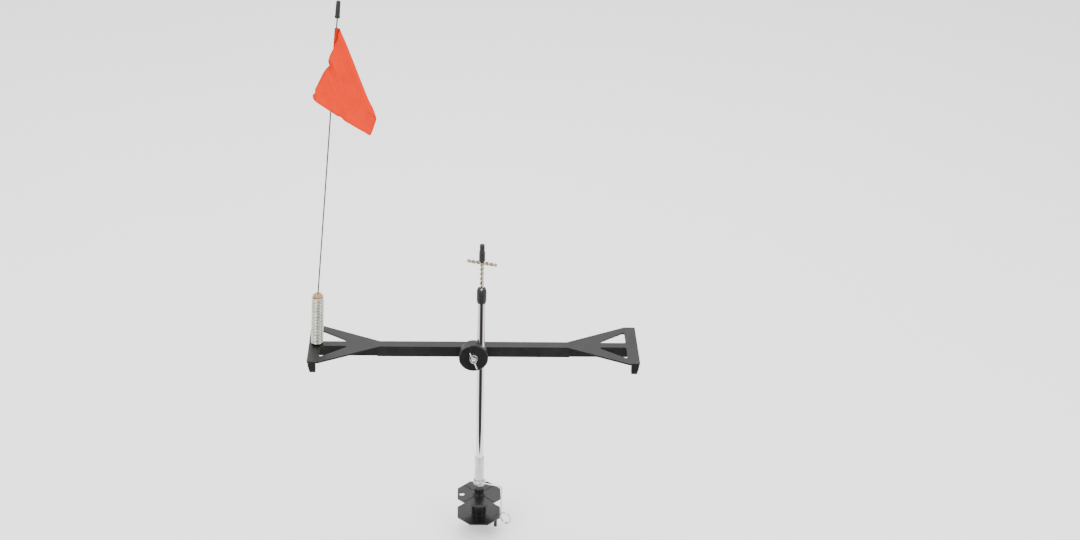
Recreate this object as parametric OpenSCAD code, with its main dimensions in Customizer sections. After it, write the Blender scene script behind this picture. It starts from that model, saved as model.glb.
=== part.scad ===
// Ice fishing tip up: a moulded beam that bridges the hole, a clamped tube with a line spool
// below the ice and a T trigger above it, and a flag on a coil spring.
// Frame: X along the beam (flag end at -X), +Z up, Z = 0 on the ice under the beam's feet,
// origin midway along the beam. The tube stands on the -Y side of the beam.

/* [Beam] */
// Overall length of the beam
beam_l = 538; // [500:2:760]
// Width of the bar between the two ends
bar_w = 18; // [16:0.5:24]
// Depth of the bar
bar_h = 18.5; // [15:0.5:24]
// Wall of the bar, which is a channel open underneath
bar_wall = 3; // [2:0.25:4]
// Width of each spread end
end_w = 120; // [100:2:150]
// Length of each spread end
end_l = 115.5; // [100:0.5:140]
// Thickness of the spread end's plate
plate_t = 3; // [2.5:0.25:4]
// Width of the bar inside a spread end
spine_w = 14; // [12:0.5:16]
// Length of the cross piece at the very end
cross_l = 18; // [15:0.5:24]
// Where the holes in a spread end start, measured from the end
hole_l = 67; // [55:1:80]
// Height of the plate's top above the ice
stand_h = 19.5; // [17:0.5:30]
// Length of a foot along the beam
foot_l = 14; // [10:0.5:16]
// Width of a foot across the beam
foot_w = 12; // [8:0.5:16]
// How far the foot's outer side leans in
foot_lean = 3; // [0:0.5:4]
// Spacing of the ribs under the bar
rib_pitch = 26; // [18:1:40]

/* [Clamp] */
// Radius of the clamp disc
clamp_r = 24; // [22:0.5:30]
// Thickness of the clamp disc
clamp_t = 18.7; // [17:0.1:24]
// Radius of the boss on the beam that the tube bears on
boss_r = 9; // [7:0.25:9.25]
// Height of that boss
boss_h = 2.5; // [1:0.25:4]
// Sideways distance from bolt to tube
tube_off = 12; // [11.5:0.25:15]
// Bolt diameter
bolt_d = 6.35; // [5:0.05:6.5]
// Bolt head diameter
bolt_head_d = 15; // [12:0.5:16]
// Bolt head height
bolt_head_h = 3; // [2:0.25:4]
// Bolt thread standing past the wing nut
bolt_past = 3.5; // [3:0.5:6]
// Washer outer diameter
washer_d = 14; // [12:0.5:18]
// Washer thickness
washer_t = 1.4; // [1:0.1:2.5]
// Wing nut span
wing_span = 31; // [26:0.5:36]
// Wing nut body diameter
nut_d = 12; // [10:0.5:14]
// Wing nut body height
nut_h = 7; // [5:0.5:9]
// Wing thickness
wing_t = 2.6; // [1.5:0.1:3.5]
// Turn of the wings about the bolt, from upright
wing_turn = 22; // [0:1:90]

/* [Tube] */
// Tube outer diameter
tube_d = 12.7; // [12:0.1:14]
// Tube wall
tube_wall = 0.9; // [0.7:0.05:1.2]
// Tube length above the bolt, up to the top collar
tube_up = 97.5; // [85:0.5:120]
// Tube length below the bolt, down to the ferrule
tube_down = 197; // [180:1:198]
// Length of tube hidden inside each end fitting
tube_in = 11; // [8:0.5:14]
// Top collar diameter
collar_d = 16; // [15:0.25:18]
// Top collar length
collar_l = 26; // [22:0.5:32]
// Ferrule diameter
ferrule_d = 15.4; // [15:0.1:17]
// Ferrule length
ferrule_l = 54; // [50:0.5:60]
// Length of each bush
bush_l = 14; // [10:0.5:18]

/* [Line guide] */
// Wire diameter of the line guide
guide_d = 2.3; // [2:0.1:3]
// Turns of wire around the ferrule
guide_turns = 3; // [2:1:5]
// Height of the guide's lowest turn above the spool's top face
guide_up = 20.5; // [19:0.5:26]
// Gap between the guide's upright wire and the spool rim
guide_gap = 1.6; // [1:0.1:4]
// Length of the upright wire
guide_l = 60; // [50:0.5:66]
// Turn of the line guide about the tube, from the right towards the front
guide_turn = 27; // [0:1:60]
// Outer radius of the eye
eye_r = 11; // [7:0.5:12]
// Turns of wire in the eye
eye_turns = 1.4; // [1:0.1:2]
// Turn of the eye's plane towards the front
eye_turn = 45; // [0:5:80]

/* [Spindle] */
// Spindle diameter
spindle_d = 4.8; // [4:0.1:5.5]
// Height of the T above the bolt
tee_up = 169; // [150:1:190]
// Length of the T's cross arm
tee_l = 52; // [40:1:60]
// Diameter of the twisted wire of the T's cross arm
tee_d = 6.4; // [5:0.2:8]
// Diameter of the T's stem
stem_d = 7.2; // [6:0.2:8]
// Sleeve diameter
sleeve_d = 10; // [9:0.25:12]
// Sleeve length
sleeve_l = 30; // [20:0.5:36]
// Turn of the T and spool about the tube, to the right end coming forward
spin0 = -18.5; // [-40:0.5:40]

/* [Spool] */
// Distance from the bolt down to the spool's top face
spool_down = 271.2; // [271.2:0.2:390]
// Spool radius
spool_r = 37; // [30:0.5:38]
// Distance from the top flange's top face to the lower flange's
spool_gap = 38; // [30:0.5:50]
// Flange thickness
flange_t = 2.4; // [2:0.1:3]
// Hub radius
hub_r = 12.4; // [11:0.2:16]
// Neck radius
neck_r = 8.1; // [7:0.1:9]
// Neck height
neck_h = 12; // [8:0.5:13]
// Hole in the top flange that holds the flag's tip for carrying
stow_d = 9; // [8.5:0.5:10]
// Radius at which that hole lies
stow_r = 29; // [24:0.5:29]
// Crank peg diameter
peg_d = 6; // [5:0.25:8]
// Crank peg length
peg_l = 20; // [14:0.5:28]
// Radius at which the peg stands
peg_at = 30.5; // [24:0.5:31]

/* [Flag] */
// Height of the flag spring
spring_l = 86.5; // [70:0.5:110]
// Outer diameter of the spring
spring_d = 20; // [18:0.5:22]
// Wire diameter of the spring
spring_wire = 2.6; // [2.2:0.1:2.8]
// Turns of the spring
spring_turns = 30; // [24:1:32]
// Distance of the spring's foot from the beam's end
spring_in = 13.2; // [12.5:0.2:16]
// Lean of the spring towards the middle
spring_lean = 2.5; // [0:0.5:6]
// Flag rod diameter
rod_d = 2.2; // [1.8:0.1:3]
// Flag rod length above the spring plug
rod_l = 496; // [420:1:560]
// Lean of the flag rod towards the middle
rod_lean = 5.1; // [2:0.1:8]
// Tip cap length
cap_l = 27; // [20:0.5:30]
// Tip cap diameter
cap_d = 7.6; // [6:0.2:9]
// Length of the flag's sleeve along the rod; the cloth stands out 1.17 times that
flag_w = 110; // [90:1:140]
// Thickness of the hanging cloth, with its fold
flag_t = 1.6; // [1:0.1:4]
// Distance from the rod's top down to the flag's top corner
flag_down = 39.5; // [30:0.5:60]

/* [Clearances] */
// Running clearance on the radius of pins and bores
run = 0.05; // [0.02:0.01:0.1]
// Sliding clearance on the radius between tube and clamp
slip = 0.1; // [0.05:0.01:0.3]
// Gap between the clamp disc and the beam
clamp_gap = 0.4; // [0.3:0.1:1]
// Gap between moving pieces that pass each other
pass = 0.5; // [0.3:0.1:1]

/* [Hidden] */
$fn = 48;

half = beam_l / 2;
bolt_z = stand_h - bar_h / 2;
face_y = -bar_w / 2 - boss_h;                 // where the boss ends
tube_y = face_y - 0.7 - tube_d / 2;           // the tube bears on the boss
disc_y = face_y - clamp_gap;                  // back of the clamp disc
front_y = disc_y - clamp_t;                   // front of the clamp disc
washer_y = front_y - washer_t;
apex = half - end_l;
tube_bore = tube_d - 2 * tube_wall;
tube_low = tube_down + tube_in;               // the tube's ends inside its fittings
tube_top = tube_up + tube_in;
ferrule_low = tube_down + ferrule_l;
neck_top = spool_down - neck_h;
lower_face = spool_down + spool_gap;
guide_r = (ferrule_d / 2 + guide_d / 2 + 0.02) / cos(11.25); // centre line of the coil, its chords clear of the ferrule
guide_pitch = guide_d + 0.15;
guide_low = spool_down - guide_up;            // centre of the lowest turn
rim_r = spool_r / cos(22.5) * 0.985;          // the corners of the eight-sided flanges
guide_far = rim_r + guide_gap + guide_d / 2;  // the upright clears those corners
guide_out = sqrt(guide_far * guide_far - guide_r * guide_r);
guide_top = guide_low - guide_turns * guide_pitch;
spring_x = -half + spring_in;
spring_top = stand_h + spring_l;
spring_bore = spring_d - 2 * spring_wire;
plug_z = spring_l + 1.1;

// ---- outlines with rounded corners
function unit(v) = v / norm(v);
function corner(a, b, c, r, n) =
    let (u = unit(a - b), v = unit(c - b), h = acos(u * v) / 2, m = unit(u + v),
         o = b + m * (r / sin(h)), s = b + u * (r / tan(h)) - o, e = b + v * (r / tan(h)) - o,
         a0 = atan2(s.y, s.x), da = (atan2(e.y, e.x) - a0 + 540) % 360 - 180)
    [for (i = [0:n]) o + r * [cos(a0 + da * i / n), sin(a0 + da * i / n)]];
function rounded(p, r, n = 6) =
    [for (i = [0:len(p) - 1])
        each corner(p[(i + len(p) - 1) % len(p)], p[i], p[(i + 1) % len(p)], r, n)];

// ---- wire of diameter d swept along points p, each ring square to the path
function along(p) = [for (i = [0:len(p) - 1]) unit(p[min(i + 1, len(p) - 1)] - p[max(i - 1, 0)])];
function sides_on(t, n, i = 0, out = []) =
    i == len(t) ? out : let (m = unit(n - t[i] * (n * t[i]))) sides_on(t, m, i + 1, concat(out, [m]));
module swept(p, d, start, sides = 8) {
    t = along(p); m = sides_on(t, start); n = len(p);
    pts = [for (i = [0:n - 1], k = [0:sides - 1]) let (q = 360 * k / sides)
        p[i] + d / 2 * (cos(q) * m[i] + sin(q) * cross(t[i], m[i]))];
    polyhedron(pts, concat(
        [for (i = [0:n - 2], k = [0:sides - 1]) let (a = i * sides + k, b = i * sides + (k + 1) % sides)
            [a, a + sides, b + sides, b]],
        [[for (k = [0:sides - 1]) k], [for (k = [sides - 1:-1:0]) (n - 1) * sides + k]]), convexity = 8);
}

// ---- places: on the tube's axis, s below the bolt; and the flag's leaning axes
module on_tube(s) { translate([tube_off, tube_y, bolt_z - s]) children(); }
module on_spring(h) { translate([spring_x, 0, stand_h]) rotate([0, spring_lean, 0]) translate([0, 0, h]) children(); }
module on_rod(h) { on_spring(plug_z + 4) rotate([0, rod_lean - spring_lean, 0]) translate([0, 0, h]) children(); }

// ================================================================= beam
module end_outline() {
    difference() {
        polygon(concat(
            [[apex - 8, bar_w / 2], [apex, bar_w / 2]],
            corner([apex, bar_w / 2], [half - cross_l, end_w / 2], [half, end_w / 2], 4, 6),
            corner([half - cross_l, end_w / 2], [half, end_w / 2], [half, 0], 2.5, 6),
            corner([half, 0], [half, -end_w / 2], [half - cross_l, -end_w / 2], 2.5, 6),
            corner([half, -end_w / 2], [half - cross_l, -end_w / 2], [apex, -bar_w / 2], 4, 6),
            [[apex, -bar_w / 2], [apex - 8, -bar_w / 2]]));
        for (s = [-1, 1])
            polygon(rounded([[half - hole_l, s * (spine_w / 2 + 0.6)], [half - cross_l - 1, s * (spine_w / 2 + 0.6)],
                             [half - cross_l - 1, s * (end_w / 2 - 16)]], 2.6));
    }
}
module foot(s) {
    // a tapered tab under the front or rear corner
    translate([0, s * (end_w / 2 - foot_w / 2), 0]) rotate([90, 0, 0]) translate([0, 0, -foot_w / 2])
        linear_extrude(foot_w)
            polygon([[half - 1.5, stand_h - plate_t + 0.5], [half - 1.5, stand_h * 0.62], [half - 1.5 - foot_lean, 0],
                     [half - foot_l, 0], [half - foot_l, stand_h - plate_t + 0.5]]);
}
module beam_end() {
    translate([0, 0, stand_h - plate_t]) linear_extrude(plate_t) end_outline();
    for (s = [-1, 1]) foot(s);
    // the spine, a narrower channel under the plate
    difference() {
        translate([apex - 2, -spine_w / 2, stand_h - bar_h]) cube([half - cross_l / 2 - apex + 2, spine_w, bar_h - 1]);
        translate([apex - 3, -spine_w / 2 + bar_wall, stand_h - bar_h - 1])
            cube([half - cross_l / 2 - apex - bar_wall + 3, spine_w - 2 * bar_wall, bar_h - plate_t + 1]);
    }
}
module beam() color("#2b2b2b") {
    solid_l = 2 * boss_r + 6;
    difference() {
        union() {
            difference() {
                translate([-apex - 4, -bar_w / 2, stand_h - bar_h]) cube([2 * apex + 8, bar_w, bar_h]);
                translate([-apex - 5, -bar_w / 2 + bar_wall, stand_h - bar_h - 1])
                    cube([2 * apex + 10, bar_w - 2 * bar_wall, bar_h - plate_t + 1]);
            }
            translate([-solid_l / 2, -bar_w / 2 + 0.5, stand_h - bar_h]) cube([solid_l, bar_w - 1, bar_h - 1]);
            for (x = [solid_l / 2 + rib_pitch : rib_pitch : apex - 4], s = [-1, 1])
                translate([s * x - 1, -bar_w / 2 + 1, stand_h - bar_h + 2]) cube([2, bar_w - 2, bar_h - 4]);
            beam_end();
            mirror([1, 0, 0]) beam_end();
            translate([0, -bar_w / 2 + 1, bolt_z]) rotate([90, 0, 0]) cylinder(r = boss_r, h = boss_h + 1);
        }
        translate([0, bar_w, bolt_z]) rotate([90, 0, 0]) cylinder(d = bolt_d + 2 * run, h = 2 * bar_w + boss_h);
        // the hole for the spring's anchor screw
        on_spring(-plate_t - 12) cylinder(d = 4.2, h = plate_t + 13);
    }
}

// ================================================================= clamp
module clamp_bolt() color("#c9ccd0") {
    thread_end = washer_y - nut_h - bolt_past;
    translate([0, bar_w / 2 + 0.02, bolt_z]) rotate([90, 0, 0]) cylinder(d = bolt_d, h = bar_w / 2 - thread_end);
    translate([0, bar_w / 2 + 0.02, bolt_z]) rotate([-90, 0, 0]) {
        cylinder(d = bolt_head_d, h = bolt_head_h * 0.4);
        translate([0, 0, bolt_head_h * 0.4]) cylinder(d1 = bolt_head_d, d2 = bolt_head_d * 0.55, h = bolt_head_h * 0.6);
    }
}
module clamp_disc() color("#262626") {
    difference() {
        translate([0, disc_y, bolt_z]) rotate([90, 0, 0]) {
            cylinder(r = clamp_r, h = clamp_t - 1.2, $fn = 96);
            translate([0, 0, clamp_t - 1.2]) cylinder(r1 = clamp_r, r2 = clamp_r - 1.2, h = 1.2, $fn = 96);
        }
        translate([0, 0, bolt_z]) rotate([90, 0, 0]) cylinder(d = bolt_d + 2 * run, h = 100);
        // the groove that the tube lies in, open towards the beam
        translate([tube_off, tube_y, bolt_z - clamp_r - 1]) cylinder(d = tube_d + 2 * slip, h = 2 * clamp_r + 2);
        translate([tube_off - tube_d / 2 - slip, tube_y, bolt_z - clamp_r - 1])
            cube([tube_d + 2 * slip, disc_y - tube_y + 1, 2 * clamp_r + 2]);
        // two lightening pockets in the back
        translate([-tube_off - 1, disc_y + 1, bolt_z]) rotate([90, 0, 0])
            for (z = [-9, 9]) translate([0, z, 0]) cylinder(r = 4.5, h = clamp_t * 0.6);
    }
}
module clamp_washer() color("#d4d6d8")
    translate([0, front_y - 0.02, bolt_z]) rotate([90, 0, 0]) difference() {
        cylinder(d = washer_d, h = washer_t - 0.04);
        translate([0, 0, -1]) cylinder(d = bolt_d + 2 * run, h = washer_t + 2);
    }
module wing_nut() color("#d8dadc")
    translate([0, washer_y, bolt_z]) rotate([90, -wing_turn, 0]) difference() {
        union() {
            cylinder(d1 = nut_d, d2 = nut_d - 2, h = nut_h);
            for (s = [-1, 1]) translate([wing_t / 2, 0, 0]) rotate([0, -90, 0])
                linear_extrude(wing_t)
                    polygon(rounded([[0.4, s * 2], [1, s * (wing_span / 2 - 5)], [6, s * (wing_span / 2)],
                                     [11.5, s * (wing_span / 2 - 1.5)], [10.5, s * (wing_span / 2 - 7.5)],
                                     [nut_h - 0.6, s * 3.5]], 0.7, 4));
        }
        translate([0, 0, -1]) cylinder(d = bolt_d + 2 * run, h = 30);
    }

// ================================================================= tube and its fittings
module tube() color("#d9dde2")
    on_tube(tube_low) difference() {
        cylinder(d = tube_d, h = tube_low + tube_top, $fn = 64);
        translate([0, 0, -1]) cylinder(d = tube_bore, h = tube_low + tube_top + 2, $fn = 64);
    }
module top_collar() color("#202020") {
    top = tube_up + collar_l;
    on_tube(-tube_up) difference() {
        union() {
            cylinder(d1 = collar_d - 1.6, d2 = collar_d, h = 4);
            translate([0, 0, 4]) cylinder(d = collar_d, h = collar_l - 8.5);
            translate([0, 0, collar_l - 4.5]) cylinder(d1 = collar_d, d2 = collar_d - 3, h = 4.5);
        }
        translate([0, 0, -1]) cylinder(d = tube_d, h = tube_in + 1);
        translate([0, 0, tube_in - 0.5]) cylinder(d = tube_bore, h = collar_l - tube_in - 3.5);
        cylinder(d = spindle_d + 0.8, h = collar_l + 1);
        // the notch across the top that leaves two ears
        translate([-3, -collar_d, collar_l - 3]) cube([6, 2 * collar_d, 4]);
    }
}
module bush(len) difference() {
    cylinder(d = tube_bore, h = len);
    translate([0, 0, -1]) cylinder(d = spindle_d + 2 * run, h = len + 2);
}
module seal() rotate_extrude() translate([(tube_bore + spindle_d) / 4 + 0.02, 0]) circle(d = (tube_bore - spindle_d) / 2 - 0.15, $fn = 20);
module upper_bush() color("#e8e4d8") on_tube(-tube_top + bush_l) bush(bush_l);
module upper_seal() color("#1a1a1a") on_tube(-tube_top - 2) seal();
module lower_ferrule() color("#bfc3c6")
    on_tube(ferrule_low) difference() {
        cylinder(d = ferrule_d, h = ferrule_l, $fn = 64);
        translate([0, 0, ferrule_l - tube_in]) cylinder(d = tube_d, h = tube_in + 1, $fn = 64);
        translate([0, 0, -1]) cylinder(d = tube_bore, h = ferrule_l, $fn = 64);
    }
module lower_bush() color("#e8e4d8") on_tube(ferrule_low - 1) bush(bush_l);
module lower_seal() color("#1a1a1a") on_tube(ferrule_low - bush_l - 3) seal();

// one wire: turns round the ferrule, an arm out past the spool's rim, an upright and an eye
module line_guide() color("#d2d4d6") {
    w = eye_r - guide_d / 2;
    e = [cos(eye_turn - guide_turn), -sin(eye_turn - guide_turn), 0];
    path = concat(
        [for (i = [0:guide_turns * 16]) let (a = -90 + 360 * i / 16)
            [guide_r * cos(a), guide_r * sin(a), -guide_low + guide_pitch * i / 16]],
        [for (a = [0:22.5:90]) [guide_out - 4 + 4 * sin(a), -guide_r, -guide_top - 1.5 - 4 * (1 - cos(a))]],
        [[guide_out, -guide_r, -guide_top - guide_l * 0.5]],
        [for (i = [0:eye_turns * 16]) let (a = 180 + 360 * i / 16)
            [guide_out, -guide_r, -guide_top - guide_l] + e * w * (1 + cos(a)) + [0, 0, w * sin(a)]
            + [e.y, -e.x, 0] * (guide_d + 0.3) * i / 16]);
    translate([tube_off, tube_y, bolt_z]) rotate([0, 0, asin(guide_r / guide_far) - guide_turn])
        swept(path, guide_d, [0, 1, 0.2]);
}

// ================================================================= spindle, trigger and spool
module spindle_rod() color("#c8cbce")
    on_tube(lower_face + 9) cylinder(d = spindle_d, h = lower_face + 9 + tee_up + 4);
module trigger() color("#b9ab92") {
    bottom = tube_up + collar_l + pass;
    difference() {
        union() {
            on_tube(-bottom) cylinder(d = stem_d, h = tee_up - bottom);
            on_tube(-tee_up) rotate([0, 0, spin0]) {
                translate([-(tee_l - tee_d) / 2, 0, 0]) rotate([0, 90, 0]) cylinder(d = tee_d, h = tee_l - tee_d);
                for (x = [-1, 1]) translate([x * (tee_l - tee_d) / 2, 0, 0]) sphere(d = tee_d * 1.04);
            }
        }
        on_tube(-bottom + 1) cylinder(d = spindle_d, h = tee_up - bottom + 5.01);
    }
}
module trigger_sleeve() color("#1d1d1d")
    on_tube(-tee_up - tee_d / 2 - 0.1) difference() {
        union() {
            cylinder(d = sleeve_d, h = sleeve_l * 0.55);
            translate([0, 0, sleeve_l * 0.55]) cylinder(d1 = sleeve_d, d2 = sleeve_d * 0.82, h = sleeve_l * 0.08);
            translate([0, 0, sleeve_l * 0.63]) cylinder(d = sleeve_d * 0.82, h = sleeve_l * 0.37 - 1);
            translate([0, 0, sleeve_l - 1]) cylinder(d1 = sleeve_d * 0.82, d2 = sleeve_d * 0.6, h = 1);
        }
        translate([0, 0, -1]) cylinder(d = spindle_d, h = 2.2);
    }
module flange() {
    // an eight-sided disc
    rotate([0, 0, spin0 + 22.5 + 18.5]) cylinder(r = rim_r, h = flange_t, $fn = 8);
}
module spool_upper() color("#242424")
    difference() {
        union() {
            on_tube(spool_down + flange_t) flange();
            on_tube(spool_down) cylinder(r = neck_r, h = neck_h);
            on_tube(spool_down) cylinder(r = neck_r + 2.6, h = 2.2);
            for (a = [45:90:315])
                on_tube(spool_down) rotate([0, 0, spin0 + 18.5 + a]) translate([neck_r, -0.7, -0.5]) cube([spool_r - neck_r - 1.5, 1.4, 1.5]);
            on_tube(spool_down + flange_t + 6) cylinder(r = hub_r - 1.6, h = 6.5);
        }
        on_tube(spool_down + 20) cylinder(d = spindle_d, h = 60);
        on_tube(spool_down + 20) rotate([0, 0, spin0 + 18.5 + 184]) translate([stow_r, 0, 0]) cylinder(d = stow_d, h = 40);
    }
module spool_lower() color("#242424")
    difference() {
        union() {
            on_tube(lower_face + flange_t) flange();
            on_tube(lower_face) cylinder(r = hub_r, h = spool_gap - flange_t);
        }
        on_tube(spool_down + flange_t + 6.2) cylinder(r = hub_r - 1.6, h = 7);
        on_tube(lower_face + 20) cylinder(d = spindle_d, h = spool_gap + 20);
        on_tube(lower_face + flange_t + 1) rotate([0, 0, spin0 + 18.5 - 21]) translate([peg_at, 0, 0]) cylinder(d = peg_d * 0.6, h = 20);
    }
module spool_nut() color("#303030")
    on_tube(lower_face + flange_t + 6) difference() {
        union() {
            translate([0, 0, 1.5]) cylinder(d = 11.5, h = 4.5, $fn = 6);
            cylinder(d1 = 7.5, d2 = 9.8, h = 1.5);
        }
        translate([0, 0, -0.4]) cylinder(d = spindle_d, h = 8);
    }
module crank_peg() color("#202020")
    on_tube(lower_face + flange_t) rotate([0, 0, spin0 + 18.5 - 21]) translate([peg_at, 0, 0]) {
        translate([0, 0, -peg_l + 1.5]) cylinder(d1 = peg_d - 0.4, d2 = peg_d, h = peg_l - 1.5);
        translate([0, 0, -peg_l]) cylinder(d1 = peg_d - 3, d2 = peg_d - 0.4, h = 1.5);
        cylinder(d = peg_d * 0.6, h = flange_t);
    }

// ================================================================= flag
// the coil: a ring of points at each step along a helix, joined into one closed skin
module flag_spring() color("#cfcfc6") {
    per = 12; sides = 6;
    n = spring_turns * per;
    rise = (spring_l - spring_wire) / spring_turns;
    r = (spring_d - spring_wire) / 2;
    slope = atan(rise / (2 * PI * r));
    pts = [for (i = [0:n], k = [0:sides - 1])
        let (a = 360 * i / per, q = 360 * k / sides, u = spring_wire / 2 * cos(q), w = spring_wire / 2 * sin(q))
        [(r + u) * cos(a) + w * sin(slope) * sin(a), (r + u) * sin(a) - w * sin(slope) * cos(a),
         spring_wire / 2 + rise * i / per + w * cos(slope)]];
    skin = [for (i = [0:n - 1], k = [0:sides - 1])
        let (a = i * sides + k, b = i * sides + (k + 1) % sides) [a, b, b + sides, a + sides]];
    caps = [[for (k = [sides - 1:-1:0]) k], [for (k = [0:sides - 1]) n * sides + k]];
    on_spring(0.5) polyhedron(concat(pts), [for (f = concat(skin, caps)) [for (j = [len(f) - 1:-1:0]) f[j]]], convexity = 8);
}
module spring_anchor() color("#2a2a2a") on_spring(0.4) difference() {
    union() {
        cylinder(d = spring_bore - 0.4, h = 9);
        translate([0, 0, 9]) cylinder(d1 = spring_bore - 0.4, d2 = spring_bore - 4, h = 3);
    }
    translate([0, 0, -1]) cylinder(d = 4.2, h = 14);
}
module anchor_screw() color("#c5c8ca") on_spring(12.5) {
    cylinder(d = 8, h = 2.6);
    translate([0, 0, -20]) cylinder(d = 3.9, h = 20.5);
}
module spring_plug() color("#8d7b5f") on_spring(plug_z) difference() {
    union() {
        translate([0, 0, -14]) cylinder(d = spring_bore - 0.8, h = 14.5);
        cylinder(d1 = spring_d - 3, d2 = spring_d - 5, h = 3);
        translate([0, 0, 3]) cylinder(d1 = spring_d - 5, d2 = 8, h = 2.5);
    }
    translate([0, 0, 4]) rotate([0, rod_lean - spring_lean, 0]) translate([0, 0, -12]) cylinder(d = rod_d, h = 20);
}
module flag_rod() color("#8b8d90") on_rod(-12) cylinder(d = rod_d, h = rod_l + 12, $fn = 24);
module tip_cap() color("#1c1c1c") on_rod(rod_l - cap_l + 4) difference() {
    union() {
        cylinder(d = cap_d + 0.8, h = 3);
        translate([0, 0, 3]) cylinder(d1 = cap_d, d2 = cap_d - 1, h = cap_l - 4);
        translate([0, 0, cap_l - 1]) cylinder(d1 = cap_d - 1, d2 = cap_d - 3, h = 1);
    }
    translate([0, 0, -1]) cylinder(d = rod_d, h = cap_l - 3);
}
// the cloth: a sleeve on the rod, a sheet that stands out from it towards the front, and the
// upper outer half, which has fallen over the diagonal and hangs in front of the rod
module cloth(p) hull() for (q = p) translate(q) sphere(d = flag_t, $fn = 8);
module flag() color("#f0562c") {
    k = flag_w / 110;
    top = [1.5, -1, -1]; low = [1.5, -1, 1 - flag_w];
    fold = k * [70, -58, -112]; corner_low = k * [64.5, -48, -148.5]; corner_up = k * [-27, -20, -103.4];
    on_rod(rod_l - flag_down) difference() {
        union() {
            translate([0, 0, -flag_w]) cylinder(d = rod_d + 3, h = flag_w, $fn = 24);
            cloth([top, low, fold]);
            cloth([top, fold, corner_low]);
            cloth([top, corner_low, corner_up]);
        }
        translate([0, 0, -flag_w - 5]) cylinder(d = rod_d, h = flag_w + 10, $fn = 24);
    }
}

beam();
clamp_bolt();
clamp_disc();
clamp_washer();
wing_nut();
tube();
top_collar();
upper_bush();
upper_seal();
lower_ferrule();
lower_bush();
lower_seal();
line_guide();
spindle_rod();
trigger();
trigger_sleeve();
spool_upper();
spool_lower();
spool_nut();
crank_peg();
flag_spring();
spring_anchor();
anchor_screw();
spring_plug();
flag_rod();
tip_cap();
flag();
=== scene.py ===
import bmesh
import bpy
import numpy as np
from mathutils import Matrix, Vector


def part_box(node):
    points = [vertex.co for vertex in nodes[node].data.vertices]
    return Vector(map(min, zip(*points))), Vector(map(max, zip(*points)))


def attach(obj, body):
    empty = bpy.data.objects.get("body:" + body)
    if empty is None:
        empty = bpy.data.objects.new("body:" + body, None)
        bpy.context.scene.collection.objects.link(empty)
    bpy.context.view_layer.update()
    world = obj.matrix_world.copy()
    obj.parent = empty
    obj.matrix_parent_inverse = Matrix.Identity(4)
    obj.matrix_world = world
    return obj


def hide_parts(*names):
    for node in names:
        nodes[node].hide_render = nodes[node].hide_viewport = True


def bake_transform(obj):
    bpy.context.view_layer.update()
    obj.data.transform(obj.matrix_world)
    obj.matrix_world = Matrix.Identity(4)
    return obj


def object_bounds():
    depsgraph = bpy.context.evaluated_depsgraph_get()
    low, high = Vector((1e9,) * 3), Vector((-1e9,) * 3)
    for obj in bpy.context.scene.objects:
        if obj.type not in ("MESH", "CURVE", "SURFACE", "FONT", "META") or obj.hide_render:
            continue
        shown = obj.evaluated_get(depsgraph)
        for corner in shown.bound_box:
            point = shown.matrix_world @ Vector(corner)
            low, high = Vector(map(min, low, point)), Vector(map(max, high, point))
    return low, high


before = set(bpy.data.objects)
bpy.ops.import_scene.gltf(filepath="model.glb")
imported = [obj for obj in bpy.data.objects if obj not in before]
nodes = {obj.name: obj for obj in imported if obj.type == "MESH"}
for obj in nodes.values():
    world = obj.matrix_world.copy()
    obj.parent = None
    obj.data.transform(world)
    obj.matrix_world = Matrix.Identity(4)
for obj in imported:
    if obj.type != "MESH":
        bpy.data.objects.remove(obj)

cad_box = [list(corner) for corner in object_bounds()]

# ------------------------------------------------------------------ camera, floor and light
# A long lens at head height looks down on the tip up by some 28 degrees. It stands over a
# plain pale floor under three large soft lamps, with a dark card for the bright metal to show.
azimuth, elevation, roll = np.radians([1.2625, 27.998, 0.984])
ahead = np.array([np.sin(azimuth) * np.cos(elevation), np.cos(azimuth) * np.cos(elevation), -np.sin(elevation)])
right = np.array([np.cos(azimuth), -np.sin(azimuth), 0.0])
above = np.cross(right, ahead)
right, above = np.cos(roll) * right + np.sin(roll) * above, np.cos(roll) * above - np.sin(roll) * right
stand = np.eye(4)
stand[:3, 0], stand[:3, 1], stand[:3, 2] = right, above, -ahead
stand[:3, 3] = -0.02466, -2.7718, 1.6054
camera = bpy.data.objects.new("camera", bpy.data.cameras.new("camera"))
camera.matrix_world = Matrix(stand.tolist())
camera.data.sensor_fit, camera.data.sensor_width, camera.data.lens = "HORIZONTAL", 36, 64.96
camera.data.shift_x, camera.data.shift_y = 0.0400, 0.0131
bpy.context.scene.collection.objects.link(camera)
bpy.context.scene.camera = camera


def put(tree, kind, values=None, **settings):
    """A new node of that kind, its settings made and its inputs given a value or linked to a socket."""
    node = tree.nodes.new(kind)
    for key, value in settings.items():
        setattr(node, key, value)
    for key, value in (values or {}).items():
        if isinstance(value, bpy.types.NodeSocket):
            tree.links.new(value, node.inputs[key])
        else:
            node.inputs[key].default_value = value
    return node


def mixed(tree, share, one, other):
    """A colour that goes from one to the other by share; each is a colour or a socket."""
    one, other = ((*tone, 1) if isinstance(tone, tuple) else tone for tone in (one, other))
    return put(tree, "ShaderNodeMix", {0: share, 6: one, 7: other}, data_type="RGBA").outputs[2]


def ranged(tree, value, low, high, to_low=0.0, to_high=1.0, **settings):
    """A value mapped so that low comes to to_low and high to to_high, and held there beyond."""
    values = {0: value, 1: low, 2: high, 3: to_low, 4: to_high}
    return put(tree, "ShaderNodeMapRange", values, **settings).outputs[0]


def maths(tree, a, b=0.0, how="ADD"):
    """The result of one operation of arithmetic on two values."""
    return put(tree, "ShaderNodeMath", {0: a, 1: b}, operation=how).outputs[0]


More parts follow.
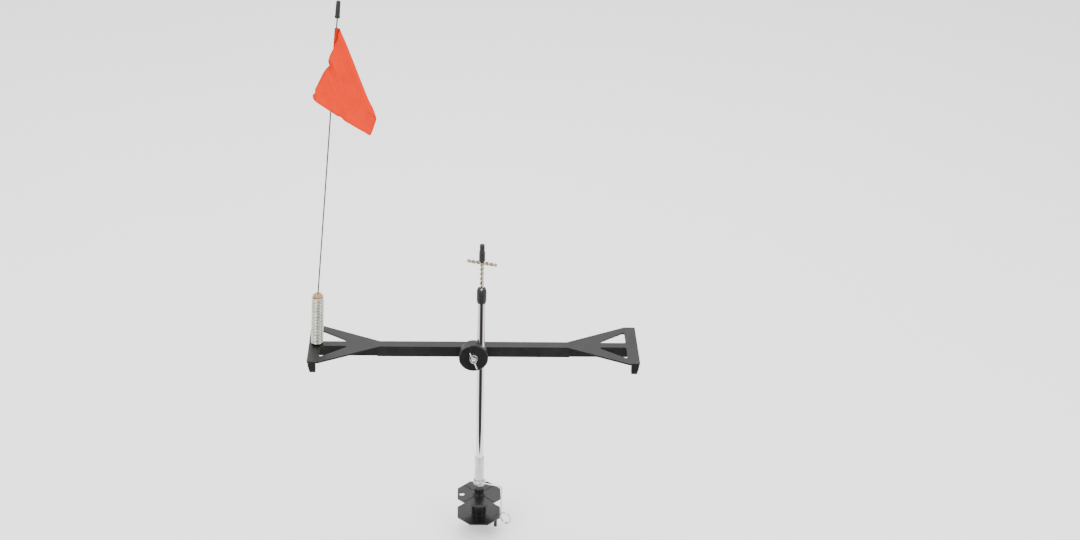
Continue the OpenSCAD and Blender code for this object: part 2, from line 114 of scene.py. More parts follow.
def finish_of(name, **constants):
    """A material whose Principled shader has these constants, with its tree, shader and Object coordinates."""
    made = bpy.data.materials.new(name)
    made.use_nodes = True
    tree = made.node_tree
    shader = tree.nodes["Principled BSDF"]
    for key, value in constants.items():
        shader.inputs[key.replace("_", " ")].default_value = value
    return made, tree, shader, put(tree, "ShaderNodeTexCoord").outputs["Object"]


def laid_flat(name, corners, finish):
    """One flat four-sided face through the corners."""
    mesh = bpy.data.meshes.new(name)
    mesh.from_pydata([tuple(c) for c in corners], [], [(0, 1, 2, 3)])
    mesh.materials.append(finish)
    made = bpy.data.objects.new(name, mesh)
    bpy.context.scene.collection.objects.link(made)
    return made


paper, tree, shader, place = finish_of("white_floor", Roughness=0.9)
cloud = put(tree, "ShaderNodeTexNoise", {"Vector": place, "Scale": 1.3, "Detail": 2.0})
tint = mixed(tree, cloud.outputs["Fac"], (0.94, 0.94, 0.935), (0.97, 0.97, 0.97))
tree.links.new(tint, shader.inputs["Base Color"])
low = cad_box[0][2] - 0.012
floor = laid_flat("floor", [(-14, -14, low), (14, -14, low), (14, 14, low), (-14, 14, low)], paper)

studio = bpy.data.worlds.new("studio")
studio.use_nodes = True
studio.node_tree.nodes["Background"].inputs["Color"].default_value = (1, 1, 1, 1)
studio.node_tree.nodes["Background"].inputs["Strength"].default_value = 1.7
bpy.context.scene.world = studio


def soft_lamp(name, at, aim, size, watts):
    """A square lamp of that size at one point, facing another."""
    lamp = bpy.data.objects.new(name, bpy.data.lights.new(name, "AREA"))
    lamp.data.shape, lamp.data.size, lamp.data.energy = "SQUARE", size, watts
    lamp.location = at
    lamp.rotation_euler = (Vector(aim) - Vector(at)).to_track_quat("-Z", "Y").to_euler()
    bpy.context.scene.collection.objects.link(lamp)


soft_lamp("key_lamp", (-1.7, -1.9, 2.3), (0, 0, 0.1), 1.6, 60)
soft_lamp("fill_lamp", (2.1, -1.5, 1.3), (0, 0, 0.0), 1.4, 24)
soft_lamp("top_lamp", (0.0, 1.1, 2.6), (0, 0, 0.0), 2.2, 70)

card, tree, shader, place = finish_of("dark_card", Roughness=0.95, Specular_IOR_Level=0.1)
# the card is dark along its middle line and turns as pale as the floor towards both sides, by |x| / |y|
parts = put(tree, "ShaderNodeSeparateXYZ", {0: place}).outputs
slant = maths(tree, maths(tree, parts[0], parts[1], "DIVIDE"), how="ABSOLUTE")
paleness = ranged(tree, slant, 0.3, 2.0, interpolation_type="SMOOTHSTEP")
tree.links.new(mixed(tree, paleness, (0.016, 0.013, 0.012), (0.62, 0.61, 0.60)), shader.inputs["Base Color"])
dark_card = laid_flat("dark_card", [(-0.7, -0.26, low + 0.002), (0.7, -0.26, low + 0.002), (3.6, -1.6, low + 0.002),
                                    (-3.6, -1.6, low + 0.002)], card)
dark_card.visible_camera = dark_card.visible_shadow = dark_card.visible_diffuse = False

# ------------------------------------------------------------------ beam
# The beam bridges the hole: one black moulding, a channel open underneath with ribs inside and
# a spread end at each side, whose four feet stand on the ice. Its edges come rounded off the mould.


def group_of(name, inputs, outputs):
    """A shader node group with these inputs, as (name, kind, value), and outputs, as (name, kind)."""
    tree = bpy.data.node_groups.new(name, "ShaderNodeTree")
    for title, kind, value in inputs:
        socket = tree.interface.new_socket(title, in_out="INPUT", socket_type="NodeSocket" + kind)
        if value is not None:
            socket.default_value = value
    for title, kind in outputs:
        tree.interface.new_socket(title, in_out="OUTPUT", socket_type="NodeSocket" + kind)
    return tree, tree.nodes.new("NodeGroupInput").outputs, tree.nodes.new("NodeGroupOutput").inputs


def noise(tree, vector, scale, detail=3.0, rough=0.5, lo=0.0, hi=1.0, sharp=(0.3, 0.7)):
    """A noise pattern, its middle band stretched from lo to hi."""
    made = put(tree, "ShaderNodeTexNoise", {"Vector": vector, "Scale": scale, "Detail": detail, "Roughness": rough})
    return ranged(tree, made.outputs["Fac"], *sharp, lo, hi)


# the grain that a spark-eroded mould leaves on plastic, with faint flow clouds in it
mould_grain, into, out = group_of("mould_grain", [("Vector", "Vector", None), ("Grain", "Float", 2200.0)],
                                  [("Height", "Float"), ("Cloud", "Float"), ("Gloss", "Float")])
fine = noise(mould_grain, into["Vector"], into["Grain"], 4.0, 0.6)
coarse = noise(mould_grain, into["Vector"], 260.0, 2.0)
mould_grain.links.new(maths(mould_grain, fine, maths(mould_grain, coarse, 0.35, "MULTIPLY")), out["Height"])
mould_grain.links.new(noise(mould_grain, into["Vector"], 24.0, 3.0), out["Cloud"])
mould_grain.links.new(noise(mould_grain, into["Vector"], 70.0, 5.0, 0.65), out["Gloss"])

# where an edge has been knocked and rubbed: its rounded normal turns away from the face's own
worn_edge, into, out = group_of("worn_edge",
                                [("Vector", "Vector", None), ("Radius", "Float", 0.0006), ("Amount", "Float", 0.5)],
                                [("Mask", "Float")])
rounded = put(worn_edge, "ShaderNodeBevel", {"Radius": into["Radius"]}, samples=4).outputs["Normal"]
face_normal = put(worn_edge, "ShaderNodeNewGeometry").outputs["Normal"]
facing = put(worn_edge, "ShaderNodeVectorMath", {0: rounded, 1: face_normal}, operation="DOT_PRODUCT").outputs["Value"]
turned_off = ranged(worn_edge, facing, 0.985, 0.86)
patches = noise(worn_edge, into["Vector"], 210.0, 4.0, 0.7, 0.1, 1.0, (0.42, 0.62))
rubbed = maths(worn_edge, turned_off, patches, "MULTIPLY")
worn_edge.links.new(maths(worn_edge, rubbed, into["Amount"], "MULTIPLY"), out["Mask"])


def moulded(name, dark, light, worn, rough, grain=2200.0, depth=0.25, edge=0.5, shine=0.3, **constants):
    """Moulded plastic or rubber: two shades in clouds, a lighter worn edge, and a grained satin skin."""
    made, tree, shader, place = finish_of(name, Specular_IOR_Level=shine, **constants)
    skin = put(tree, "ShaderNodeGroup", node_tree=mould_grain)
    rub = put(tree, "ShaderNodeGroup", node_tree=worn_edge)
    for effect in (skin, rub):
        tree.links.new(place, effect.inputs["Vector"])
    skin.inputs["Grain"].default_value, rub.inputs["Amount"].default_value = grain, edge
    shade = mixed(tree, rub.outputs["Mask"], mixed(tree, skin.outputs["Cloud"], dark, light), worn)
    tree.links.new(shade, shader.inputs["Base Color"])
    gloss = ranged(tree, skin.outputs["Gloss"], 0.0, 1.0, rough - 0.06, rough + 0.08)
    tree.links.new(gloss, shader.inputs["Roughness"])
    bump = put(tree, "ShaderNodeBump", {"Strength": depth, "Distance": 0.00008, "Height": skin.outputs["Height"]})
    tree.links.new(bump.outputs[0], shader.inputs["Normal"])
    return made


def eased_copy(node, name, ease, finish):
    """A CAD piece's own mesh, its doubled points merged and degenerate faces dissolved, with every edge past 30 degrees
    rounded over by ease.
    """
    mesh = nodes[node].data.copy()
    mesh.name = name
    mesh.materials.clear()
    mesh.materials.append(finish)
    net = bmesh.new()
    net.from_mesh(mesh)
    bmesh.ops.remove_doubles(net, verts=net.verts, dist=2e-6)
    bmesh.ops.dissolve_degenerate(net, edges=net.edges, dist=2e-6)
    net.to_mesh(mesh)
    net.free()
    if "custom_normal" in mesh.attributes:
        mesh.attributes.remove(mesh.attributes["custom_normal"])
    mesh.shade_smooth()
    made = bpy.data.objects.new(name, mesh)
    bpy.context.scene.collection.objects.link(made)
    bevel = made.modifiers.new("eased", "BEVEL")
    bevel.width, bevel.segments, bevel.limit_method, bevel.angle_limit = ease, 2, "ANGLE", np.radians(30)
    bevel.harden_normals, bevel.use_clamp_overlap = True, True
    return made


beam_black = moulded("beam_black", dark=(0.0050, 0.0050, 0.0048), light=(0.0095, 0.0095, 0.0088),
                     worn=(0.045, 0.044, 0.041), rough=0.40, depth=0.3)
beam = eased_copy("beam", "beam_moulding", 0.0005, beam_black)
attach(beam, "frame")
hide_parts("beam")

# ------------------------------------------------------------------ clamp bolt
# A quarter-inch carriage bolt goes through the beam from behind, domed head at the back. Its
# rolled thread runs out through disc, washer and wing nut, and its end is chamfered.


def quads(rows, columns, loop_rows=False, loop_columns=True):
    """The four-sided faces between neighbouring rows and columns of a grid of points."""
    r = np.arange(rows if loop_rows else rows - 1)[:, None]
    c = np.arange(columns if loop_columns else columns - 1)[None, :]
    nr, nc = (r + 1) % rows, (c + 1) % columns
    return np.stack([r * columns + c, r * columns + nc, nr * columns + nc, nr * columns + c], -1).reshape(-1, 4)


def eased(corners, ease, steps=5, loop=False):
    """A line through corners, each corner replaced by the parabola between the points ease back along both its edges:
    (1-t)^2 start + 2t(1-t) corner + t^2 end. A point a little further along each edge keeps the long faces flat."""
    p = np.asarray(corners, float)
    p = np.vstack([p[-1:], p, p[:1]]) if loop else p
    a, b, c = p[:-2], p[1:-1], p[2:]
    start = b + (a - b) * np.minimum(ease / np.linalg.norm(a - b, axis=1, keepdims=True), 0.45)
    end = b + (c - b) * np.minimum(ease / np.linalg.norm(c - b, axis=1, keepdims=True), 0.45)
    t = np.linspace(0, 1, steps)[None, :, None]
    arcs = (1 - t) ** 2 * start[:, None] + 2 * t * (1 - t) * b[:, None] + t * t * end[:, None]
    before, after = (b + (q - b) * np.minimum(1.8 * ease / np.linalg.norm(q - b, axis=1, keepdims=True), 0.48)
                     for q in (a, c))
    arcs = np.concatenate([before[:, None], arcs, after[:, None]], 1).reshape(-1, p.shape[1])
    return arcs if loop else np.vstack([p[:1], arcs, p[-1:]])


def turned(profile, foot, axis=(0, 0, 1), sides=64, loop=False, wave=None):
    """A turned skin: profile point (r, h) at angle a goes to foot + h axis + r (cos a across + sin a other).
    wave, if given, is added to r and has a row for each profile point and a column for each angle."""
    axis = np.asarray(axis, float) / np.linalg.norm(axis)
    across = np.cross(axis, (0.0, 1.0, 0.0) if abs(axis[1]) < 0.9 else (1.0, 0.0, 0.0))
    across /= np.linalg.norm(across)
    a = np.linspace(0, 2 * np.pi, sides, endpoint=False)
    rim = np.cos(a)[:, None] * across + np.sin(a)[:, None] * np.cross(axis, across)
    r, h = np.asarray(profile, float).T
    r = r[:, None] + (0 if wave is None else wave)
    points = np.asarray(foot, float) + h[:, None, None] * axis + np.broadcast_to(r, (len(h), sides))[..., None] * rim
    return points.reshape(-1, 3), quads(len(h), sides, loop)


def piece_of(name, finish, *skins, crease=38):
    """One object from several skins: doubles merged, faces turned outwards, edges past crease degrees kept crisp."""
    points, faces, count = [], [], 0
    for p, f in skins:
        points.append(p)
        faces += (f + count).tolist() if isinstance(f, np.ndarray) else [[i + count for i in face] for face in f]
        count += len(p)
    mesh = bpy.data.meshes.new(name)
    mesh.from_pydata(np.vstack(points).tolist(), [], faces)
    net = bmesh.new()
    net.from_mesh(mesh)
    bmesh.ops.remove_doubles(net, verts=net.verts, dist=1e-6)
    bmesh.ops.recalc_face_normals(net, faces=net.faces)
    net.to_mesh(mesh)
    net.free()
    mesh.materials.append(finish)
    mesh.shade_smooth()
    mesh.set_sharp_from_angle(angle=np.radians(crease))
    made = bpy.data.objects.new(name, mesh)
    bpy.context.scene.collection.objects.link(made)
    return made


# lines that drawing, rolling or turning leaves: noise on coordinates that the material has stretched
drawn_lines, into, out = group_of("drawn_lines", [("Vector", "Vector", None)],
                                  [("Height", "Float"), ("Gloss", "Float")])
drawn_lines.links.new(noise(drawn_lines, into["Vector"], 1.0, 4.0, 0.7), out["Height"])
drawn_lines.links.new(noise(drawn_lines, into["Vector"], 0.35, 3.0, 0.6), out["Gloss"])


def bright_metal(name, low_tone, high_tone, rough, lines=(900, 900, 9), depth=0.1, cloud=40.0, **constants):
    """Bare or plated metal: two tones in clouds, lines along the way it was drawn or turned, and uneven gloss."""
    made, tree, shader, place = finish_of(name, Metallic=1.0, **constants)
    drawn = put(tree, "ShaderNodeGroup", node_tree=drawn_lines)
    stretched = put(tree, "ShaderNodeMapping", {"Vector": place, "Scale": lines}).outputs[0]
    tree.links.new(stretched, drawn.inputs["Vector"])
    mottle = noise(tree, place, cloud, 4.0, 0.6)
    tree.links.new(mixed(tree, mottle, low_tone, high_tone), shader.inputs["Base Color"])
    smudge = maths(tree, maths(tree, drawn.outputs["Gloss"], 0.5, "MULTIPLY"), maths(tree, mottle, 0.5, "MULTIPLY"))
    tree.links.new(ranged(tree, smudge, 0.0, 1.0, rough * 0.6, rough * 1.5), shader.inputs["Roughness"])
    bump = put(tree, "ShaderNodeBump", {"Strength": depth, "Distance": 0.00003, "Height": drawn.outputs["Height"]})
    tree.links.new(bump.outputs[0], shader.inputs["Normal"])
    return made


zinc_plate = bright_metal("zinc_plate", low_tone=(0.46, 0.465, 0.48), high_tone=(0.68, 0.685, 0.69), rough=0.22,
                          lines=(500, 40, 500), depth=0.12, cloud=160.0)
lo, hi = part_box("clamp_bolt")
bolt_foot = np.array([(lo.x + hi.x) / 2, 0.0, (lo.z + hi.z) / 2])
bolt_r, pitch, shank = 0.003165, 0.00127, 0.0045
bolt_h = np.arange(-0.009, -lo.y - 0.0002, pitch / 8)
around = np.linspace(0, 2 * np.pi, 48, endpoint=False)
# a rolled thread: the radius dips by a triangle wave of height and angle, less near both ends
phase = (bolt_h[:, None] / pitch - around[None, :] / (2 * np.pi)) % 1
thread = -0.0007 * np.clip(1.25 * np.abs(2 * phase - 1) - 0.1, 0, 1) * np.clip((bolt_h[:, None] - shank) / 0.003, 0, 1)
profile = np.stack([np.clip(bolt_r - np.clip(bolt_h + lo.y + 0.0011, 0, 1), 0.002, 1), bolt_h], 1)
shank_skin = turned(np.vstack([[0, -0.009], profile, [0, bolt_h[-1] + 0.0001]]), bolt_foot, (0, -1, 0), 48,
                    wave=np.vstack([0 * around, thread, 0 * around]))
dome = eased([(0, -0.00902), (0.0075, -0.00902), (0.0074, -0.0103), (0.0058, -0.0114), (0.003, -0.01195),
              (0, -0.01201)], 0.0009)
bolt = piece_of("carriage_bolt", zinc_plate, shank_skin, turned(dome, bolt_foot, (0, -1, 0), 48), crease=50)
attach(bolt, "frame")
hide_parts("clamp_bolt")

# ------------------------------------------------------------------ clamp disc
# A thick moulded disc with a groove across its back. It traps the tube against the beam's boss,
# and the bolt draws it tight, so that the tube can be slid or folded when it is slack.
disc_black = moulded("disc_black", dark=(0.0045, 0.0045, 0.0045), light=(0.0085, 0.0085, 0.008),
                     worn=(0.045, 0.044, 0.041), rough=0.37, grain=1800.0, depth=0.25, edge=0.6)
disc = eased_copy("clamp_disc", "clamp_disc_moulding", 0.0007, disc_black)
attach(disc, "clamp")
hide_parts("clamp_disc")

# ------------------------------------------------------------------ washer and wing nut
# A stamped washer lies on the disc, and on it a cast and plated wing nut with two blade wings
# that sweep outwards and forwards for finger and thumb.
lo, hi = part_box("clamp_washer")
ring = eased([(0.00325, 0.0), (0.007, 0.0), (0.007, hi.y - lo.y), (0.00325, hi.y - lo.y)], 0.00035, loop=True)
washer_skin = turned(ring, (bolt_foot[0], hi.y, bolt_foot[2]), (0, -1, 0), 64, True)
washer = piece_of("clamp_washer_ring", zinc_plate, washer_skin)
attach(washer, "washer")
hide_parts("clamp_washer")


def carried(path, ring, ref, loop=False, size=None):
    """A ring carried along a path: with t the path's direction, s the part of ref square to t and u = t x s,
    ring point (x, y) goes to path + size (x s + y u). Open ends are closed with a flat face."""
    t = np.roll(path, -1, 0) - np.roll(path, 1, 0) if loop else np.gradient(path, axis=0)
    t /= np.linalg.norm(t, axis=1, keepdims=True)
    s = np.broadcast_to(ref, path.shape) - (np.broadcast_to(ref, path.shape) * t).sum(1, keepdims=True) * t
    s /= np.linalg.norm(s, axis=1, keepdims=True)
    u = np.cross(t, s)
    size = np.ones(len(path)) if size is None else np.asarray(size)
    ring = np.broadcast_to(ring, (len(path), *np.shape(ring)[-2:])) * size[:, None, None]
    points = path[:, None] + ring[..., :1] * s[:, None] + ring[..., 1:] * u[:, None]
    n, m = ring.shape[:2]
    faces = quads(n, m, loop).tolist()
    if not loop:
        faces += [list(range(m))[::-1], list(range((n - 1) * m, n * m))]
    return points.reshape(-1, 3), faces


cast_zinc = bright_metal("cast_zinc", low_tone=(0.52, 0.52, 0.52), high_tone=(0.74, 0.74, 0.73), rough=0.28,
                         lines=(420, 420, 420), depth=0.3, cloud=230.0)
lo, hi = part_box("wing_nut")
nut_foot = np.array([bolt_foot[0], hi.y, bolt_foot[2]])
body = eased([(0.00325, 0.0), (0.006, 0.0), (0.0061, 0.0018), (0.0052, 0.0069), (0.00325, 0.0069)], 0.0007, loop=True)
lean = np.radians(22)
out_dir, flat_dir = np.array([-np.sin(lean), 0, np.cos(lean)]), np.array([np.cos(lean), 0, np.sin(lean)])
front_dir = np.array([0, -1.0, 0])
wing_skins = []
for side in (1, -1):
    # the blade's middle line, its half width and half thickness, from the boss out to the rounded tip
    k = np.linspace(0, 1, 15)
    reach = np.interp(k, [0, 0.3, 0.65, 1], [0.0030, 0.0068, 0.0111, 0.0150])
    rise = np.interp(k, [0, 0.3, 0.65, 1], [0.0034, 0.0041, 0.0060, 0.0089])
    half = np.interp(k, [0, 0.35, 0.75, 0.92, 1], [0.0028, 0.0031, 0.0042, 0.0036, 0.0012])
    thick = np.interp(k, [0, 0.5, 0.9, 1], [0.0019, 0.0014, 0.0012, 0.0005])
    line = nut_foot + side * reach[:, None] * out_dir + rise[:, None] * front_dir
    a = np.linspace(0, 2 * np.pi, 24, endpoint=False)
    oval = np.stack([thick[:, None] * np.cos(a), half[:, None] * np.sin(a)], -1)
    wing_skins.append(carried(line, oval, flat_dir))
wing_nut = piece_of("wing_nut_casting", cast_zinc, turned(body, nut_foot, (0, -1, 0), 64, True), *wing_skins, crease=60)
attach(wing_nut, "nut")
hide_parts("wing_nut")

# ------------------------------------------------------------------ tube
# Half-inch steel tube, chromed, that carries everything below the ice and the trigger above it.
# Both ends are cut square and hidden in their fittings.
chrome_plate = bright_metal("chrome_plate", low_tone=(0.62, 0.615, 0.61), high_tone=(0.72, 0.715, 0.71), rough=0.07,
                            lines=(700, 700, 7), depth=0.05, cloud=18.0)
lo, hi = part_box("tube")
axis_x, axis_y = (lo.x + hi.x) / 2, (lo.y + hi.y) / 2
wall = eased([(0.00545, lo.z), (0.00635, lo.z), (0.00635, hi.z), (0.00545, hi.z)], 0.0002, 3, loop=True)
tube = piece_of("chromed_tube", chrome_plate, turned(wall, (axis_x, axis_y, 0), sides=128, loop=True))
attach(tube, "tube")
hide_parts("tube")

# ------------------------------------------------------------------ top collar, bushes and seals
# A black moulded collar closes the tube's top, notched across into two ears. Inside each end of
# the tube are a plastic bush and a rubber ring, between which grease is packed against freezing.
collar_black = moulded("collar_black", dark=(0.009, 0.009, 0.0095), light=(0.016, 0.016, 0.0155),
                       worn=(0.05, 0.049, 0.047), rough=0.36, grain=2400.0, depth=0.25, edge=0.4)
collar = eased_copy("top_collar", "top_collar_moulding", 0.0004, collar_black)
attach(collar, "tube")
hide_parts("top_collar")
bush_white = moulded("bush_white", dark=(0.66, 0.64, 0.58), light=(0.78, 0.76, 0.70), worn=(0.82, 0.80, 0.76),
                     rough=0.42, grain=2600.0, depth=0.15, edge=0.2)
seal_rubber = moulded("seal_rubber", dark=(0.009, 0.009, 0.009), light=(0.018, 0.018, 0.018), worn=(0.04, 0.04, 0.04),
                      rough=0.62, grain=3000.0, depth=0.4, edge=0.2)
for node, finish in (("upper_bush", bush_white), ("lower_bush", bush_white),
                     ("upper_seal", seal_rubber), ("lower_seal", seal_rubber)):
    nodes[node].data.materials.clear()
    nodes[node].data.materials.append(finish)

# ------------------------------------------------------------------ lower ferrule
# A turned alloy sleeve on the tube's lower end, with a bead at the top, two roll grooves that
# hold it on the tube, and a shoulder above the turns of the line guide.
alloy = bright_metal("turned_alloy", low_tone=(0.46, 0.46, 0.455), high_tone=(0.60, 0.60, 0.59), rough=0.26,
                     lines=(14, 14, 5200), depth=0.35, cloud=60.0)
lo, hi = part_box("lower_ferrule")
r, z = 0.0077, hi.z - lo.z
groove = [(r, z - 0.0092), (r - 0.00045, z - 0.0096), (r - 0.00045, z - 0.0104), (r, z - 0.0108)]
bush_bore, tube_seat = 0.00548, 0.00636
outline = [(bush_bore, 0.0), (r - 0.0004, 0.0), (r, 0.0006), (r, 0.0088), (r - 0.0006, 0.0091), (r - 0.0006, 0.0099),
           (r, 0.0102), *groove[::-1], (r, z - 0.0026), (r + 0.00002, z - 0.0012), (r - 0.0005, z), (tube_seat, z),
           (tube_seat, z - 0.0109), (bush_bore, z - 0.011)]
ferrule_skin = turned(eased(outline, 0.0002, 4, True), (axis_x, axis_y, lo.z), sides=96, loop=True)
ferrule = piece_of("ferrule_sleeve", alloy, ferrule_skin)
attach(ferrule, "tube")
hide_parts("lower_ferrule")

# ------------------------------------------------------------------ line guide
# One length of bright spring wire: three turns round the ferrule, an arm out past the spool's
# rim, an upright down beside it, and an open eye that the line can be slipped into.
guide_bright = bright_metal("guide_wire_bright", low_tone=(0.50, 0.50, 0.49), high_tone=(0.68, 0.68, 0.67), rough=0.12,
                            lines=(1500, 1500, 90), depth=0.08, cloud=120.0)
wire, coil_r, coil_pitch, low_turn, upright = 0.0023, 0.009044, 0.00245, 0.2507, 0.060
far = 0.037 / np.cos(np.radians(22.5)) * 0.985 + 0.0016 + wire / 2
reach, top_turn = np.sqrt(far ** 2 - coil_r ** 2), low_turn - 3 * coil_pitch
a = np.radians(np.linspace(-90, 990, 145))
coil = np.stack([coil_r * np.cos(a), coil_r * np.sin(a), -low_turn + coil_pitch * (a + np.pi / 2) / (2 * np.pi)], 1)
k = np.linspace(0, 1, 22)[1:-1, None]
arm = coil[-1] * (1 - k) + k * np.array([reach - 0.004, -coil_r, -top_turn - 0.0015])
b = np.linspace(0, np.pi / 2, 10)[:, None]
bend = np.hstack([reach - 0.004 + 0.004 * np.sin(b), 0 * b - coil_r, -top_turn - 0.0015 - 0.004 * (1 - np.cos(b))])
end = np.array([reach, -coil_r, -top_turn - upright])
drop = bend[-1] * (1 - k) + k * end
# the eye: a circle of radius w that starts at the upright, stands aside by a little each turn
w, eye = 0.00985, np.array([np.cos(np.radians(18)), -np.sin(np.radians(18)), 0])
c = np.pi + np.linspace(0, 1.4 * 2 * np.pi, 80)[:, None]
sideways = np.array([eye[1], -eye[0], 0.0])
loop_line = end + eye * w * (1 + np.cos(c)) + np.array([0, 0, w]) * np.sin(c)
loop_line += sideways * (wire + 0.0003) * (c - np.pi) / (2 * np.pi)
path = np.vstack([coil, arm, bend, drop, loop_line])
# a reference direction that never lies along the wire: upright on the coil, then turned to the front
upwards, frontwards = [0, 0, 1.0], [0.2, -1, 0.5]
ref = np.vstack([np.repeat([upwards], len(coil), 0), np.linspace(upwards, frontwards, len(arm)),
                 np.repeat([frontwards], len(bend) + len(drop), 0), np.linspace(frontwards, sideways, len(loop_line))])
spin = np.arcsin(coil_r / far) - np.radians(27)
turn = np.array([[np.cos(spin), -np.sin(spin), 0], [np.sin(spin), np.cos(spin), 0], [0, 0, 1]])
size = np.clip(np.sqrt(np.clip(1 - (1 - np.arange(len(path)) / 2.0).clip(0) ** 2, 0, 1)) + 0.25, 0, 1)
size = np.minimum(size, size[::-1])
q = np.linspace(0, 2 * np.pi, 14, endpoint=False)
round_wire = np.stack([np.cos(q), np.sin(q)], 1) * wire / 2
guide = piece_of("line_guide_wire", guide_bright,
                 carried(path @ turn.T + (axis_x, axis_y, 0.01025), round_wire, ref @ turn.T, size=size), crease=70)
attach(guide, "tube")
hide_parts("line_guide")

# ------------------------------------------------------------------ spindle
# A plain steel rod inside the tube, down to the spool and up into the trigger's twisted stem.
# Its ends are chamfered, and the lower one shows below the spool's nut.
rod_bright = bright_metal("spindle_steel", low_tone=(0.55, 0.555, 0.56), high_tone=(0.74, 0.745, 0.75), rough=0.2,
                          lines=(1100, 1100, 12), depth=0.12, cloud=60.0)
lo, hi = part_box("spindle_rod")
r, up = 0.0024, 0.131
chamfer = 0.0006
rod = eased([(0, lo.z), (r - chamfer, lo.z), (r, lo.z + chamfer), (r, up), (r - chamfer, up + chamfer),
             (0, up + chamfer)], 0.0002, 3)
spindle = piece_of("spindle_steel_rod", rod_bright, turned(rod, (axis_x, axis_y, 0), sides=48))
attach(spindle, "spindle")
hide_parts("spindle_rod")

# ------------------------------------------------------------------ trigger
# Heavy nickelled wire, twisted double: a stem that stands on the spindle and a cross arm bent
# back on itself at both ends, which the flag's tip hooks under when the tip up is set.
nickel_wire = bright_metal("nickelled_wire", low_tone=(0.30, 0.25, 0.18), high_tone=(0.52, 0.46, 0.37), rough=0.22,
                           lines=(900, 900, 900), depth=0.2, cloud=260.0)
lo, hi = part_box("trigger")
arm_z, stem_low, arm_turn = hi.z - 0.0032, lo.z, np.radians(-18.5)
strands = []
z = np.linspace(stem_low + 0.0004, arm_z - 0.0005, 90)
for start in (0, np.pi):
    # each strand winds round the stem's axis, half a turn from the other
    a = start + 2 * np.pi * (z - z[0]) / 0.0165
    out_way = np.stack([np.cos(a), np.sin(a), 0 * a], 1)
    line = np.array([axis_x, axis_y, 0]) + 0.00178 * out_way + z[:, None] * (0, 0, 1.0)
    strands.append(carried(line, np.stack([np.cos(q), np.sin(q)], 1) * 0.00174, out_way))
along, crosswise = np.array([np.cos(arm_turn), np.sin(arm_turn), 0]), np.array([-np.sin(arm_turn), np.cos(arm_turn), 0])
half, r = 0.0226, 0.00160
x = np.linspace(-half, half, 110)
a = 2 * np.pi * x / 0.0150 + 0.6
n_way = np.cos(a)[:, None] * crosswise + np.sin(a)[:, None] * (0, 0, 1.0)
b_way = np.cross(along, n_way)
# out along one strand, round a half circle at the end, and back along the other
u_turn = np.linspace(0, np.pi, 12)[1:-1, None]
tip_out = along * half + r * (np.cos(u_turn) * n_way[-1] + np.sin(u_turn) * along)
tip_back = -along * half - r * (np.cos(u_turn) * n_way[0] + np.sin(u_turn) * along)
path = np.vstack([along * x[:, None] + r * n_way, tip_out, (along * x[:, None] - r * n_way)[::-1], tip_back])
ref = np.vstack([b_way, np.repeat(b_way[-1:], 10, 0), b_way[::-1], np.repeat(b_way[:1], 10, 0)])
strands.append(carried(path + (axis_x, axis_y, arm_z), np.stack([np.cos(q), np.sin(q)], 1) * 0.00156, ref, loop=True))
trigger = piece_of("trigger_wire_twist", nickel_wire, *strands, crease=70)
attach(trigger, "spindle")
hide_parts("trigger")

# ------------------------------------------------------------------ trigger sleeve
# A soft black sleeve pushed over the top of the trigger, wider below than above, with a domed
# end. The flag's tip can be set against it.
sleeve_rubber = moulded("sleeve_rubber", dark=(0.008, 0.008, 0.0085), light=(0.017, 0.017, 0.0165),
                        worn=(0.045, 0.045, 0.043), rough=0.46, grain=2600.0, depth=0.4, edge=0.35)
lo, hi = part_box("trigger_sleeve")
r, z = 0.005, hi.z - lo.z
outline = [(0, 0), (r - 0.0008, 0), (r, 0.0008), (r, 0.0030), (r - 0.0002, 0.0033), (r - 0.0002, 0.0037),
           (r, 0.0040), (r, z * 0.53), (r * 0.83, z * 0.62), (r * 0.82, z - 0.0016), (r * 0.66, z - 0.0003), (0, z)]
sleeve_skin = turned(eased(outline, 0.0006), (axis_x, axis_y, lo.z), sides=64)
sleeve = piece_of("trigger_rubber_sleeve", sleeve_rubber, sleeve_skin)
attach(sleeve, "spindle")
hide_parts("trigger_sleeve")

# ------------------------------------------------------------------ spool
# Two glossy black mouldings pushed together on the spindle: eight-sided flanges, the upper one
# with a neck, four ribs and a hole for the flag's tip, and the lower one with the line's hub.
spool_gloss = moulded("spool_gloss", dark=(0.0045, 0.0045, 0.0043), light=(0.0075, 0.0075, 0.007),
                      worn=(0.05, 0.05, 0.048), rough=0.26, grain=900.0, depth=0.03, edge=0.5,
                      Coat_Weight=0.3, Coat_Roughness=0.14)
for node, name, ease, finish in (("spool_upper", "spool_upper_flange", 0.00045, spool_gloss),
                                 ("spool_lower", "spool_lower_flange", 0.00045, spool_gloss),
                                 ("spool_nut", "spool_end_nut", 0.0003, collar_black)):
    moulding = eased_copy(node, name, ease, finish)
    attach(moulding, "spindle")
    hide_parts(node)

# ------------------------------------------------------------------ crank peg
# A short tapered peg pressed into the lower flange near its rim, to wind the line in by.
peg_black = moulded("peg_black", dark=(0.009, 0.009, 0.0095), light=(0.016, 0.016, 0.0155), worn=(0.05, 0.049, 0.047),
                    rough=0.34, grain=2400.0, depth=0.25, edge=0.5)
lo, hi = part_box("crank_peg")
centre, z = (lo + hi) / 2, 0.020
tenon = 0.0018
outline = [(0, 0), (0.0016, 0.0001), (0.0027, 0.0013), (0.0030, z), (tenon, z), (tenon, hi.z - lo.z),
           (0, hi.z - lo.z)]
peg = piece_of("crank_peg_moulding", peg_black, turned(eased(outline, 0.0007), (centre.x, centre.y, lo.z), sides=48))
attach(peg, "spindle")
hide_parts("crank_peg")

